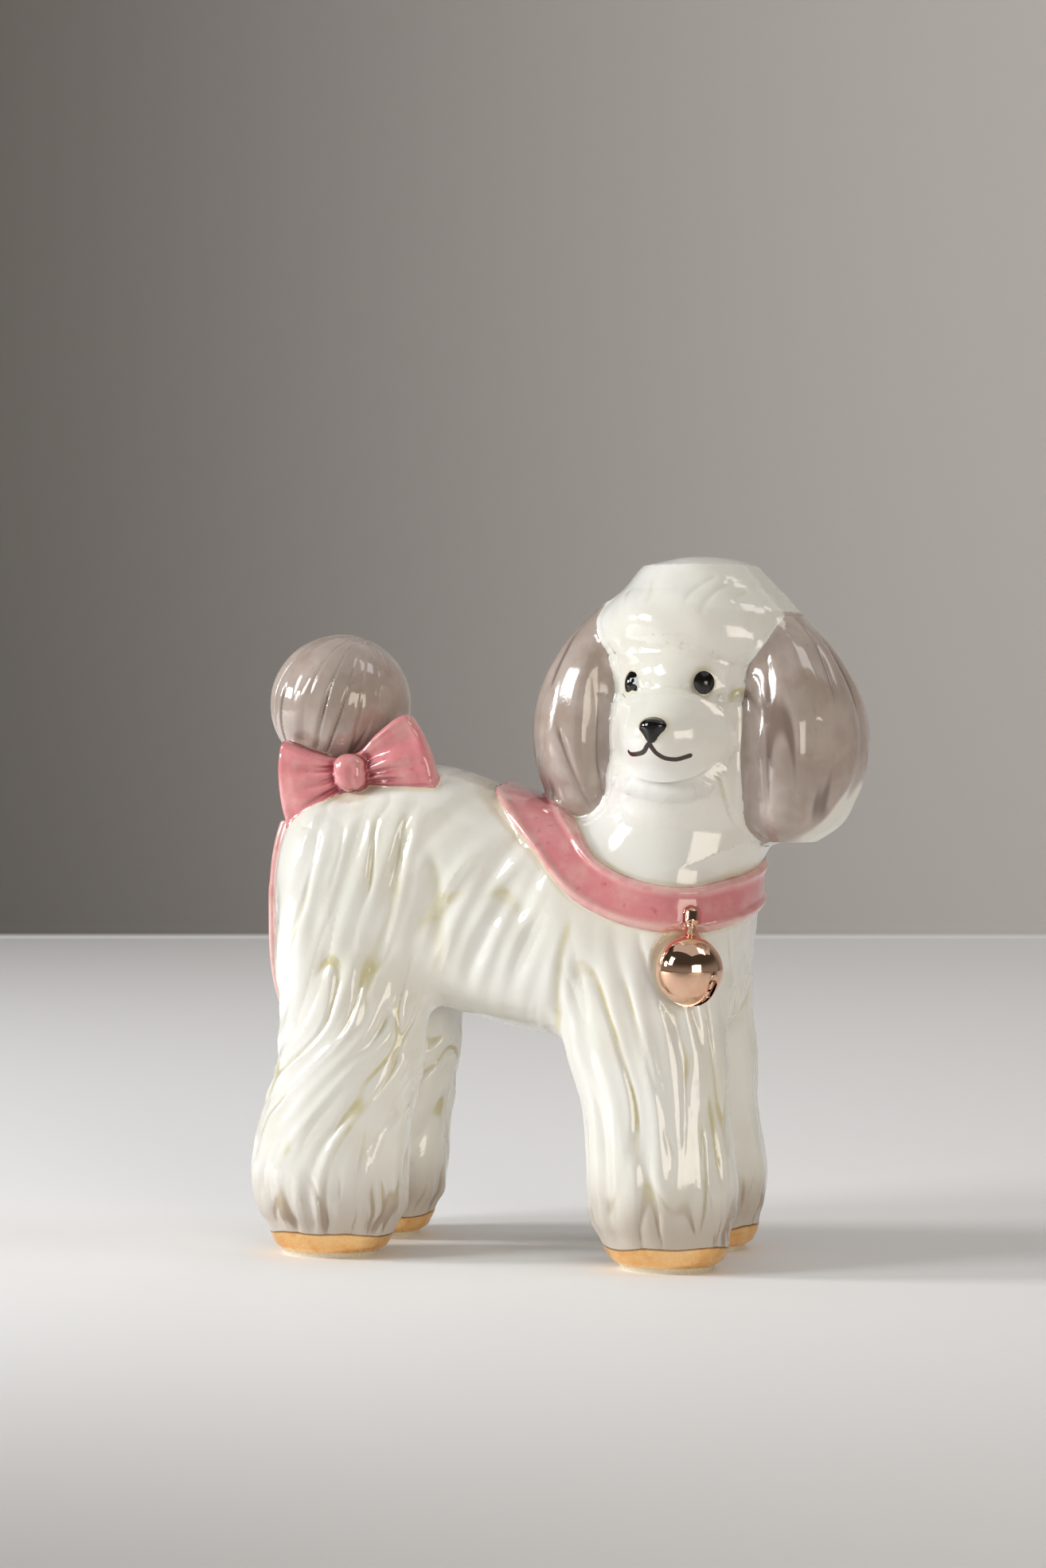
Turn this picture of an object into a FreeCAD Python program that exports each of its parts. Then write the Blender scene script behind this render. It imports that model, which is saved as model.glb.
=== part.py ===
import FreeCAD, Part
import math
import os

# Poodle figurine, about 174 mm tall, made as hollow slip-cast shells and pressed pieces
# that are luted face to face. The dog stands with +X ahead of it, +Y at its left and
# +Z up, and turns its head to its right, so the face looks along -Y.
# Lengths are millimetres and angles are degrees. The numbers below are laid out from a
# point on the shelf under the spine, and move_to_frame() then puts the origin in the
# middle of the whole outline.

os.makedirs("parts", exist_ok=True)
Vector = FreeCAD.Vector

frame_offset = Vector(-4.3, 2.6, 0)

wall = 3.5                 # thickness of the slip-cast shells
section_points = 24        # points that carry each rounded cross-section
barrel_squareness = 2.3    # exponent of the barrel's sections: 2 is an ellipse

# Barrel of the torso: x, lowest z, highest z, half width
barrel_stations = [
    (-50.0, 54.0, 119.5, 26.5),
    (-30.0, 61.0, 122.8, 25.0),
    (-8.0, 57.0, 116.2, 24.5),
    (12.0, 52.5, 110.8, 26.0),
    (31.0, 51.5, 108.0, 26.5),
]
rump_end_x = -70.2
chest_end_x = 51.2
end_cap_angles = (14.0, 32.0, 52.0, 72.0)   # where the rounded ends are sectioned
end_cap_roundness = 0.72                    # below 1 is blunter than an ellipse

# Neck: z, centre x, radius along x, radius along y
neck_stations = [
    (74.0, 30.5, 18.0, 19.5),
    (88.0, 30.2, 21.6, 22.6),
    (98.0, 31.0, 22.6, 22.4),
    (107.0, 32.2, 22.2, 21.6),
    (115.0, 35.0, 19.8, 19.8),
    (122.0, 37.5, 16.0, 16.5),
    (127.0, 38.5, 11.0, 12.0),
]

# Legs: z, centre x, radius along x, centre y, radius along y, above the gold paw
front_leg_stations = [
    (6.5, 34.2, 16.0, 17.0, 12.5),
    (10.9, 33.6, 18.5, 17.0, 14.6),
    (17.5, 33.5, 19.3, 17.0, 15.2),
    (27.3, 32.7, 18.9, 17.0, 14.6),
    (40.0, 31.3, 18.9, 16.5, 13.8),
    (55.0, 28.9, 21.1, 15.5, 13.0),
    (70.0, 28.2, 19.7, 13.5, 11.5),
    (80.0, 28.0, 14.5, 12.0, 8.5),
]
rear_leg_stations = [
    (6.5, -52.0, 16.4, 17.0, 12.8),
    (11.0, -52.0, 19.8, 17.0, 15.0),
    (17.5, -52.5, 21.1, 17.0, 15.5),
    (27.3, -52.0, 20.3, 17.0, 15.0),
    (40.0, -49.5, 19.8, 16.5, 14.0),
    (55.0, -46.8, 19.6, 15.5, 13.2),
    (70.0, -47.5, 19.5, 13.5, 12.5),
    (84.0, -48.5, 16.0, 12.0, 9.5),
]
pad_thickness = 1.4
pad_radius_ratio = 0.70        # pad at the shelf, against the leg's section above the paw
pad_rim_ratio = 0.73           # where the paw meets its pad
paw_shoulder_ratio = 0.88      # paw part way up
paw_shoulder_height = 0.6      # of the height of the leg's first section
vent_radius = 1.8              # holes pierced between the shells before luting
belly_vent_x = -12.0
belly_drill_z = (40.0, 80.0)   # a vertical drill over these heights crosses only the underside
neck_drill_z = (115.0, 135.0)  # and over these only the top of the neck

# Head, turned from straight ahead to the dog's right
head_axis = Vector(38.9, 0, 0)
head_turn = -99.5
# Skull, along the head's own directions: z, centre forward, half depth, half width
skull_stations = [
    (108.0, -2.0, 16.0, 18.0),
    (116.0, -1.5, 18.4, 21.0),
    (125.0, -1.0, 19.0, 22.4),
    (135.0, -1.0, 19.2, 23.0),
    (146.0, -1.0, 19.0, 23.0),
    (156.0, -1.0, 18.0, 21.0),
    (163.0, -0.8, 14.0, 16.0),
    (167.0, -0.5, 7.5, 9.0),
]
topknot_centre_z = 152.0
topknot_radii = (24.4, 25.9, 22.3)
topknot_rim_z = 149.5
head_reach = 60.0              # nothing on the head is further than this from its axis
muzzle_centre = (15.0, 0.0, 130.5)        # forward of the head's axis, to its left, z
muzzle_radii = (15.6, 12.5, 11.0)
nose_centre = (29.8, 0.0, 132.6)
nose_radii = (2.6, 3.4, 2.5)
eye_centre = (16.0, 10.1, 143.9)
eye_radii = (3.2, 2.3, 2.8)
# Ear puff: z, half depth, distance from the head's axis, half thickness
ear_stations = [
    (104.8, 7.0, 25.2, 6.0),
    (107.6, 12.0, 25.8, 9.8),
    (115.5, 17.0, 27.2, 13.8),
    (125.0, 20.0, 28.0, 15.4),
    (134.0, 20.0, 28.0, 15.2),
    (145.0, 17.6, 26.4, 13.0),
    (153.0, 13.4, 23.8, 10.0),
    (160.0, 8.0, 20.0, 6.0),
]
right_ear_lift = 2.8           # the dog's right ear sits a little higher

# Tail with its ball of hair, and the bow tied in front of it
tail_base = Vector(-53.0, 0, 112.0)
tail_radius = 4.5
pompom_centre = Vector(-55.3, 0, 138.0)
pompom_radius = 17.9
bow_knot_centre = Vector(-47.0, -13.6, 121.0)
bow_knot_radii = (4.7, 4.4, 5.0)
bow_knot_lead = 1.0            # the knot stands this far in front of the loops
bow_loop_half_thickness = 3.6
bow_loop_squareness = 2.6
# Share of the loop's length, of its half height and of its half thickness
bow_loop_profile = ((0.0, 0.38, 0.6), (0.35, 0.5, 0.95), (0.7, 0.82, 1.0), (1.0, 1.0, 0.7))
# End of each loop: dx and dz from the knot, half height, lean from upright
rear_loop_end = (-19.5, -3.6, 10.8, 12.0)
front_loop_end = (21.0, 6.2, 9.3, -18.0)

# Ribbons
ribbon_thickness = 1.6
collar_width = 11.0
collar_hub = Vector(22.0, 0, 86.0)     # inside the chest, where the collar's route is seen from
# Collar route: bearing from +X round to +Y, elevation above the hub
collar_route = [
    (-174.0, 49.5), (-129.0, 38.5), (-99.0, 18.8), (-77.0, 9.3), (-52.0, 4.8),
    (-27.0, 7.8), (9.0, 13.6), (48.0, 21.0), (90.0, 31.0), (135.0, 43.5),
]
collar_sections = 24
ray_length = 80.0                      # from the hub to well outside the body
streamer_width = 9.0
streamer_centre_y = -5.0
streamer_low_z = 56.0
streamer_high_z = 107.0
streamer_x = (-90.0, -50.0)            # the rump's rear face lies between these

# Bell
bell_centre = Vector(43.5, -29.6, 74.8)
bell_radius = 8.1
bell_stem_radii = (2.5, 1.7)
bell_stem_top = Vector(42.8, -25.2, 90.0)


def rounded_wire(centre, axis_a, axis_b, radius_a, radius_b, squareness=2.0):
    """Closed smooth curve about centre, from an ellipse to a rounded rectangle."""
    points = []
    for index in range(section_points):
        angle = 2 * math.pi * index / section_points
        a = math.copysign(abs(math.cos(angle)) ** (2 / squareness), math.cos(angle))
        b = math.copysign(abs(math.sin(angle)) ** (2 / squareness), math.sin(angle))
        points.append(centre + axis_a * (radius_a * a) + axis_b * (radius_b * b))
    curve = Part.BSplineCurve()
    curve.interpolate(Points=points, PeriodicFlag=True)
    return Part.Wire([curve.toShape()])


def level_loft(sections):
    """Solid through level ellipses given as (z, x, radius_x, y, radius_y)."""
    wires = []
    for z, x, radius_x, y, radius_y in sections:
        wires.append(rounded_wire(Vector(x, y, z), Vector(1, 0, 0), Vector(0, 1, 0), radius_x, radius_y))
    return Part.makeLoft(wires, True)


def ellipsoid(centre, radii):
    """Ellipsoid with its radii along x, y and z."""
    stretch = FreeCAD.Matrix()
    stretch.scale(*radii)
    solid = Part.makeSphere(1.0).transformGeometry(stretch)
    solid.translate(centre)
    return solid


def on_head(shape):
    """Turn a shape laid out along the head's own directions, x forward and y left."""
    shape.rotate(Vector(0, 0, 0), Vector(0, 0, 1), head_turn)
    shape.translate(head_axis)
    return shape


def head_ellipsoid(centre, radii):
    return on_head(ellipsoid(Vector(*centre), radii))


def skull_outline(grow=0.0):
    """The skull's outside grown by grow; a negative grow also lifts its floor."""
    sections = []
    for z, forward, half_depth, half_width in skull_stations:
        sections.append((z, forward, half_depth + grow, 0, half_width + grow))
    bottom = sections[0]
    top = sections[-1]
    sections[0] = (bottom[0] - grow,) + bottom[1:]
    sections[-1] = (top[0] + grow,) + top[1:]
    return on_head(level_loft(sections))


def ear_outline(side, lift):
    sections = []
    for z, half_depth, offset, half_thickness in ear_stations:
        sections.append((z + lift, 0, half_depth, side * offset, half_thickness))
    return on_head(level_loft(sections))


def barrel(grow):
    """The barrel's outside grown by grow, with blunt rounded ends."""
    wires = []

    def add_section(x, low_z, high_z, half_width, scale):
        centre = Vector(x, 0, (low_z + high_z) / 2)
        half_height = ((high_z - low_z) / 2 + grow) * scale
        wires.append(rounded_wire(centre, Vector(0, 1, 0), Vector(0, 0, 1),
                                  (half_width + grow) * scale, half_height, barrel_squareness))

    def add_end(end_x, station, angles):
        for angle in angles:
            reach = (station[0] - end_x) * (1 - math.cos(math.radians(angle)))
            scale = math.sin(math.radians(angle)) ** end_cap_roundness
            add_section(end_x + reach, *station[1:], scale)

    add_end(rump_end_x - grow, barrel_stations[0], end_cap_angles)
    for station in barrel_stations:
        add_section(*station, 1.0)
    add_end(chest_end_x + grow, barrel_stations[-1], reversed(end_cap_angles))
    return Part.makeLoft(wires, True)


def neck(grow):
    """The neck's outside grown by grow, from inside the chest to inside the skull."""
    sections = []
    for z, x, radius_x, radius_y in neck_stations:
        sections.append((z, x, radius_x + grow, 0, radius_y + grow))
    top = sections[-1]
    sections[-1] = (top[0] + min(grow, 0.0),) + top[1:]
    return level_loft(sections)


def torso_outline(grow=0.0):
    return barrel(grow).fuse(neck(grow))


def vent(x, y, drill_z):
    low_z, high_z = drill_z
    return Part.makeCylinder(vent_radius, high_z - low_z, Vector(x, y, low_z))


def leg_outline(stations, side, grow=0.0):
    """A leg's outside grown by grow; side is 1 for the dog's left and -1 for its right."""
    sections = [(z, x, rx + grow, side * y, ry + grow) for z, x, rx, y, ry in stations]
    return level_loft(sections)


def leg_cavity(stations, side):
    """Hollow of a leg, from above its floor to past the torso's wall."""
    floor = stations[0]
    top = stations[-1]
    raised_floor = (floor[0] + wall,) + floor[1:]
    raised_top = (top[0] + wall,) + top[1:]
    return leg_outline([raised_floor] + stations[1:-1] + [raised_top], side, -wall)


def paw_sections(stations, side):
    """Sections of the tapering paw: at the shelf, above the pad, half way, at the cuff."""
    cuff_z, x, rx, y, ry = stations[0]
    heights = ((0.0, pad_radius_ratio), (pad_thickness, pad_rim_ratio),
               (cuff_z * paw_shoulder_height, paw_shoulder_ratio), (cuff_z, 1.0))
    return [(z, x, rx * ratio, side * y, ry * ratio) for z, ratio in heights]


def bow_loop(end):
    """One loop of the bow, flaring from the knot to its outer edge."""
    reach, rise, half_height, lean = end
    direction = Vector(reach, 0, rise)
    upright = Vector(math.sin(math.radians(lean)), 0, math.cos(math.radians(lean)))
    depth = Vector(0, 1, 0)
    wires = []
    for along, height_ratio, depth_ratio in bow_loop_profile:
        wires.append(rounded_wire(bow_knot_centre + direction * along, upright, depth,
                                  half_height * height_ratio, bow_loop_half_thickness * depth_ratio,
                                  bow_loop_squareness))
    return Part.makeLoft(wires, True)


def surface_point(body, bearing, elevation):
    """Where a ray from the collar's hub leaves the body."""
    turn = math.radians(bearing)
    lift = math.radians(elevation)
    direction = Vector(math.cos(turn) * math.cos(lift), math.sin(turn) * math.cos(lift), math.sin(lift))
    ray = Part.makeLine(collar_hub, collar_hub + direction * ray_length)
    inside = ray.common(body)
    return max((vertex.Point for vertex in inside.Vertexes), key=collar_hub.distanceToPoint)


def collar_tube(body):
    """Round tube along the collar's route on the body's surface, as wide as the collar."""
    route = Part.BSplineCurve()
    points = [surface_point(body, bearing, elevation) for bearing, elevation in collar_route]
    route.interpolate(Points=points, PeriodicFlag=True)
    span = route.LastParameter - route.FirstParameter
    wires = []
    for index in range(collar_sections):
        parameter = route.FirstParameter + span * index / collar_sections
        centre = route.value(parameter)
        tangent = Vector(*route.tangent(parameter)[0])
        outward = (centre - collar_hub).cross(tangent).normalize()
        across = tangent.cross(outward).normalize()
        wires.append(rounded_wire(centre, outward, across, collar_width / 2, collar_width / 2))
    return Part.makeLoft(wires, True, False, True)


def move_to_frame(shape):
    placed = shape.copy()
    placed.translate(frame_offset)
    return placed


pieces = {}

# Torso shell, vented under the belly, into each leg and into the head.
torso = torso_outline()
torso_shell = torso.cut(torso_outline(-wall))
vents = [vent(belly_vent_x, 0, belly_drill_z), vent(neck_stations[-1][1], 0, neck_drill_z)]
leg_tables = {"front": front_leg_stations, "rear": rear_leg_stations}
sides = {"left": 1, "right": -1}
for stations in leg_tables.values():
    for side in sides.values():
        top = stations[-2]
        vents.append(vent(top[1], side * top[3], belly_drill_z))
pieces["torso_casting"] = torso_shell.cut(vents)

# Four legs, each with its gold paw and dry pad.
for end_name, stations in leg_tables.items():
    for side_name, side in sides.items():
        name = end_name + "_" + side_name
        leg = leg_outline(stations, side).cut(torso).cut(leg_cavity(stations, side))
        pieces[name + "_leg"] = leg
        sections = paw_sections(stations, side)
        pieces[name + "_paw"] = level_loft(sections[1:])
        pieces[name + "_foot_pad"] = level_loft(sections[:2])

# Head shell, with the topknot, muzzle and ears luted on.
skull = skull_outline()
pieces["head_casting"] = skull.cut(skull_outline(-wall)).cut(torso)

topknot_ball = head_ellipsoid((0, 0, topknot_centre_z), topknot_radii)
above_rim = Part.makeBox(2 * head_reach, 2 * head_reach, head_reach,
                         head_axis + Vector(-head_reach, -head_reach, topknot_rim_z))
topknot_cap = topknot_ball.common(above_rim)
pieces["topknot"] = topknot_cap.cut(skull)

muzzle = head_ellipsoid(muzzle_centre, muzzle_radii)
pieces["muzzle"] = muzzle.cut(skull).cut(torso)
pieces["nose_tip"] = head_ellipsoid(nose_centre, nose_radii).cut(muzzle)

ears = []
for side_name, side in sides.items():
    eye = head_ellipsoid((eye_centre[0], side * eye_centre[1], eye_centre[2]), eye_radii)
    pieces[side_name + "_eye"] = eye.cut(skull)
    ear = ear_outline(side, right_ear_lift if side_name == "right" else 0.0)
    ears.append(ear)
    pieces[side_name + "_ear"] = ear.cut([skull, topknot_cap, torso, muzzle])

# Tail stem, pompom and bow.
stem = Part.makeCylinder(tail_radius, pompom_centre.z - tail_base.z, tail_base)
pompom = Part.makeSphere(pompom_radius, pompom_centre)
pompom_cavity = Part.makeSphere(pompom_radius - wall, pompom_centre)
pieces["tail_pompom"] = pompom.cut(pompom_cavity).cut(stem)
pieces["tail_stem"] = stem.cut(torso).cut(pompom_cavity)

knot = ellipsoid(bow_knot_centre - Vector(0, bow_knot_lead, 0), bow_knot_radii)
pieces["bow_knot"] = knot.cut([torso, pompom])
pieces["bow_rear_loop"] = bow_loop(rear_loop_end).cut([knot, torso, pompom, stem])
pieces["bow_front_loop"] = bow_loop(front_loop_end).cut([knot, torso, pompom, stem])

# Ribbons lie on the torso's surface.
ribbon_skin = torso_outline(ribbon_thickness)
collar = ribbon_skin.common(collar_tube(torso)).cut(torso)
streamer_box = Part.makeBox(streamer_x[1] - streamer_x[0], streamer_width, streamer_high_z - streamer_low_z,
                            Vector(streamer_x[0], streamer_centre_y - streamer_width / 2, streamer_low_z))
streamer = ribbon_skin.common(streamer_box)
pieces["rump_streamer"] = streamer.cut([torso, leg_outline(rear_leg_stations, sides["right"])])

# Bell on its stem, under the collar's lowest point.
bell_ball = Part.makeSphere(bell_radius, bell_centre)
stem_rise = bell_stem_top - bell_centre
bell_stem = Part.makeCone(bell_stem_radii[0], bell_stem_radii[1], stem_rise.Length, bell_centre, stem_rise)
pieces["jingle_bell"] = bell_ball.cut(torso)
pieces["bell_stem"] = bell_stem.cut([bell_ball, torso])
pieces["collar_ribbon"] = collar.cut([bell_stem, bell_ball] + ears)

for name, shape in pieces.items():
    placed = move_to_frame(shape)
    placed.exportStep("parts/" + name + ".step")
    box = placed.BoundBox
    print("%-22s solids %d valid %s volume %9.1f  x %7.1f %7.1f  y %7.1f %7.1f  z %7.1f %7.1f" % (
        name, len(placed.Solids), placed.isValid(), placed.Volume,
        box.XMin, box.XMax, box.YMin, box.YMax, box.ZMin, box.ZMax))
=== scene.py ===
import functools
import math

import bmesh
import bpy
import numpy as np
import openvdb
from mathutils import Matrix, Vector


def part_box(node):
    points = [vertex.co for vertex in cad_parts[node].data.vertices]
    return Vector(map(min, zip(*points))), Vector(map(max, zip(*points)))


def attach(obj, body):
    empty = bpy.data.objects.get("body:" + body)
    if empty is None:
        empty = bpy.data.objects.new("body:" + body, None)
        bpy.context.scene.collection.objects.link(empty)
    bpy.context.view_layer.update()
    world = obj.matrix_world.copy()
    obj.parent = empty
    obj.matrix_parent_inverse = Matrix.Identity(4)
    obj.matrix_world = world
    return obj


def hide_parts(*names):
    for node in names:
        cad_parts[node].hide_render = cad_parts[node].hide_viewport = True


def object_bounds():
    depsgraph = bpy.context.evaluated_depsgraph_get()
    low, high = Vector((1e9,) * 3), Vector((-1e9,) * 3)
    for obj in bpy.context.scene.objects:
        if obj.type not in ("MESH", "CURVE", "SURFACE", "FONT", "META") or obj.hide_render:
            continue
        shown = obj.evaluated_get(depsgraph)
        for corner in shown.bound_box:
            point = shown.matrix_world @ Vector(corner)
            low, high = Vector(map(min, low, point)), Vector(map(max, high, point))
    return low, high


# A glazed poodle figurine. Every visible piece is sculpted as the zero surface of one shared
# field: each piece has its own distance function, neighbours are joined by a small fillet of
# slip and glaze, and the carved hair is added to the field before the surface is taken.
# Sculpting is done in millimetres from a point under the spine, between the paws, with +X
# ahead of the dog, +Y at its left and +Z up. The frame says where that point is.

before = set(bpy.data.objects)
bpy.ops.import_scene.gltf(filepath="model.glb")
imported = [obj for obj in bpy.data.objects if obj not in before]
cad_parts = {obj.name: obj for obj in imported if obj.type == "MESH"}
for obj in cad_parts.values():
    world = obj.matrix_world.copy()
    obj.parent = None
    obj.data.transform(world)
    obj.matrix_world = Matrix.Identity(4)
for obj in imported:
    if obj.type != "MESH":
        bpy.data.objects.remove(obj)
cad_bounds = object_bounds()

MM = 0.001
FRONT_FOOT_X = 34.2            # front feet ahead of the sculpting origin


@functools.cache
def cad_box(node):
    """Lowest and highest corner of a CAD node, in millimetres in the row frame."""
    low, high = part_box(node)
    return np.array(low) / MM, np.array(high) / MM


def cad_centre(node):
    low, high = cad_box(node)
    return (low + high) / 2


front_feet = (cad_centre("front_left_foot_pad") + cad_centre("front_right_foot_pad")) / 2
ORIGIN = np.array([front_feet[0] - FRONT_FOOT_X, front_feet[1], 0.0])

# ---------------------------------------------------------------- sculpting sizes, millimetres

# x, lowest z, highest z, half width
BARREL = np.array([
    (-50.0, 54.0, 119.5, 26.5),
    (-30.0, 61.0, 122.8, 25.0),
    (-8.0, 57.0, 116.2, 24.5),
    (12.0, 52.5, 110.8, 26.0),
    (31.0, 51.5, 108.0, 26.5),
])
RUMP_END_X = -70.2
CHEST_END_X = 51.2
BARREL_SQUARENESS = 2.5

# z, centre x, radius x, centre y, radius y
NECK = np.array([
    (74.0, 30.5, 18.0, 0, 19.5),
    (88.0, 30.2, 21.6, 0, 22.6),
    (98.0, 31.0, 22.6, 0, 22.4),
    (107.0, 32.2, 22.2, 0, 21.6),
    (115.0, 35.0, 19.8, 0, 19.8),
    (122.0, 37.5, 16.0, 0, 16.5),
    (127.0, 38.5, 11.0, 0, 12.0),
])
FRONT_LEG = np.array([
    (-1.0, 34.6, 11.2, 17.0, 8.6),
    (1.3, 34.6, 12.2, 17.0, 9.5),
    (2.4, 34.5, 13.8, 17.0, 10.8),
    (4.2, 34.4, 15.0, 17.0, 11.7),
    (6.5, 34.2, 16.1, 17.0, 12.6),
    (10.9, 33.6, 18.5, 17.0, 14.6),
    (17.5, 33.5, 19.3, 17.0, 15.2),
    (27.3, 32.7, 18.9, 17.0, 14.6),
    (40.0, 31.3, 18.9, 16.5, 13.8),
    (55.0, 28.9, 21.1, 15.5, 13.0),
    (70.0, 28.2, 19.7, 13.5, 11.5),
    (80.0, 28.0, 14.5, 12.0, 8.5),
])
REAR_LEG = np.array([
    (-1.0, -52.4, 11.6, 17.0, 8.8),
    (1.3, -52.4, 12.6, 17.0, 9.7),
    (2.4, -52.3, 14.2, 17.0, 11.0),
    (4.2, -52.2, 15.2, 17.0, 11.9),
    (6.5, -52.0, 16.4, 17.0, 12.8),
    (11.0, -52.0, 19.8, 17.0, 15.0),
    (17.5, -52.5, 21.1, 17.0, 15.5),
    (27.3, -52.0, 20.3, 17.0, 15.0),
    (40.0, -49.5, 19.8, 16.5, 14.0),
    (55.0, -46.8, 19.6, 15.5, 13.2),
    (70.0, -47.5, 19.5, 13.5, 12.5),
    (84.0, -48.5, 16.0, 12.0, 9.5),
])
CORE_FILLET = 14.0             # torso, head, muzzle and topknot run softly into each other
FAR = 14.0                     # shapes further apart than this don't meet
PAD_TOP = 1.4
PAW_TOP = 6.3

# Head, in its own directions: z, forward, half depth, sideways, half width
HEAD_AXIS = np.array([38.9, 0.0])
HEAD_TURN = math.radians(-99.5)
SKULL = np.array([
    (108.0, -2.0, 16.0, 0, 18.0),
    (116.0, -1.5, 18.4, 0, 21.0),
    (125.0, -1.0, 19.0, 0, 22.4),
    (135.0, -1.0, 19.2, 0, 23.0),
    (146.0, -1.0, 19.0, 0, 23.0),
    (156.0, -1.0, 18.0, 0, 21.0),
    (163.0, -0.8, 14.0, 0, 16.0),
    (167.0, -0.5, 7.5, 0, 9.0),
])
TOPKNOT_CENTRE = (0.0, 0.0, 152.0)
TOPKNOT_RADII = (23.6, 25.9, 22.3)
MUZZLE_CENTRE = (15.0, 0.0, 130.5)
MUZZLE_RADII = (15.6, 12.5, 11.0)
# z, forward, half depth, sideways, half thickness
EAR = np.array([
    (104.8, 2.0, 7.0, 25.2, 6.0),
    (107.6, 2.0, 12.0, 25.8, 9.8),
    (115.5, 1.5, 17.0, 27.2, 13.8),
    (125.0, 0.5, 20.0, 28.0, 15.4),
    (134.0, 0.0, 20.0, 28.0, 15.2),
    (145.0, 0.0, 17.6, 26.4, 13.0),
    (153.0, 0.0, 13.4, 23.8, 10.0),
    (160.0, 0.0, 8.0, 20.0, 6.0),
])
RIGHT_EAR_LIFT = 2.8
EYE_SIDE = 10.1
EYE_Z = 143.9
EYE_RADII = (1.9, 2.15, 2.45)      # outward, sideways, up
EYE_SINK = 0.8                 # centre of the eye under the skin
NOSE_Z = 132.8
POMPOM_CENTRE = np.array([-55.3, 0.0, 138.0])
POMPOM_RADII = (18.0, 17.8, 17.9)
TAIL_RADIUS = 4.5
BOW_KNOT = np.array([-47.0, -14.0, 121.0])
COLLAR_HUB = np.array([22.0, 0.0, 86.0])
# Bearing from +X round to +Y and elevation above the hub, degrees
COLLAR_ROUTE = np.array([
    (-174.0, 49.5), (-129.0, 38.5), (-99.0, 18.8), (-77.0, 9.3), (-52.0, 4.8),
    (-27.0, 7.8), (9.0, 13.6), (48.0, 21.0), (90.0, 31.0), (135.0, 43.5),
])
COLLAR_WIDTH = 11.0
RIBBON_THICKNESS = 1.5
STREAMER_WIDTH = 9.0
BELL_CENTRE = np.array([43.5, -31.0, 74.6])
BELL_RADIUS = 9.0
BELL_WALL = 1.2
BELL_STEM_TOP = np.array([42.8, -25.2, 88.8])


# ---------------------------------------------------------------- small mathematics

def step(low, high, value):
    """0 below low, 1 above high and smooth between; low may be above high."""
    t = np.clip((value - low) / (high - low), 0.0, 1.0)
    return t * t * (3 - 2 * t)


def along(table, t):
    """Columns of a table at t, by a cubic through its rows, held past its ends."""
    knots = table[:, 0]
    values = table[:, 1:]
    slopes = np.gradient(values, knots, axis=0)
    row = np.clip(np.searchsorted(knots, t) - 1, 0, len(knots) - 2)
    width = (knots[row + 1] - knots[row])
    s = np.clip((t - knots[row]) / width, 0.0, 1.0)[:, None]
    width = width[:, None]
    return ((2 * s**3 - 3 * s**2 + 1) * values[row] + (s**3 - 2 * s**2 + s) * width * slopes[row]
            + (3 * s**2 - 2 * s**3) * values[row + 1] + (s**3 - s**2) * width * slopes[row + 1])


def smooth_max(a, b, k):
    h = np.clip(k - np.abs(a - b), 0.0, None)
    return np.maximum(a, b) + h * h / (4 * k)


def smooth_min(a, b, k):
    return -smooth_max(-a, -b, k)


def blended(distances, names, radius):
    """The nearest of the named pieces, raised towards the others by the fillets."""
    own = np.minimum.reduce([distances[name] for name in names])
    result = own + radius / 4
    for name in names:
        result -= np.clip(radius - distances[name] + own, 0.0, None) ** 2 / (4 * radius)
    return result


def rounded(offsets, radii, squareness=2.0):
    """Near-distance to an ellipsoid, ellipse or their boxier kin, from offsets and radii."""
    power = sum(np.abs(o / r) ** squareness for o, r in zip(offsets, radii))
    k0 = np.maximum(power, 1e-9) ** (1 / squareness)
    k1 = np.sqrt(sum((o / r**2) ** 2 for o, r in zip(offsets, radii))) + 1e-9
    return np.minimum(k0 * (k0 - 1) / k1, 1e3)


def stack(a, b, t, table, squareness=2.0):
    """Near-distance to ellipses stacked along t: t, centre a, radius a, centre b, radius b."""
    centre_a, radius_a, centre_b, radius_b = along(table, t).T
    side = rounded((a - centre_a, b - centre_b), (radius_a, radius_b), squareness)
    ends = np.maximum(table[0, 0] - t, t - table[-1, 0])
    return np.maximum(side, ends)


def slab(offsets, halves, radius):
    """Distance to a rounded box from the offsets along each of its directions."""
    gaps = [np.abs(o) - (h - radius) for o, h in zip(offsets, halves)]
    outside = np.sqrt(sum(np.maximum(g, 0.0) ** 2 for g in gaps))
    inside = np.minimum(np.maximum.reduce(gaps), 0.0)
    return outside + inside - radius


def slope_of(field, p, reach=0.04):
    """Values and gradients of a field, by forward steps."""
    value = field(p)
    gradient = np.empty_like(p)
    for axis in range(3):
        moved = p.copy()
        moved[:, axis] += reach
        gradient[:, axis] = (field(moved) - value) / reach
    return value, gradient


def ripple(points, seed, size):
    """Soft noise between about -1 and 1 that repeats no pattern on the figure."""
    random = np.random.RandomState(seed)
    total = 0.0
    for _ in range(5):
        direction = random.normal(size=3)
        direction /= np.linalg.norm(direction) * size * random.uniform(0.7, 1.4)
        total = total + np.sin(points @ direction * 2 * math.pi + random.uniform(0, 2 * math.pi))
    return total / 2.6


def line_distance(points, line):
    """Distance from each point to a line of short straight runs."""
    nearest = np.full(len(points), 9.0)
    for start, end in zip(line[:-1], line[1:]):
        run = end - start
        t = np.clip((points - start) @ run / (run @ run), 0.0, 1.0)
        nearest = np.minimum(nearest, np.linalg.norm(points - start - t[:, None] * run, axis=1))
    return nearest


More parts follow.
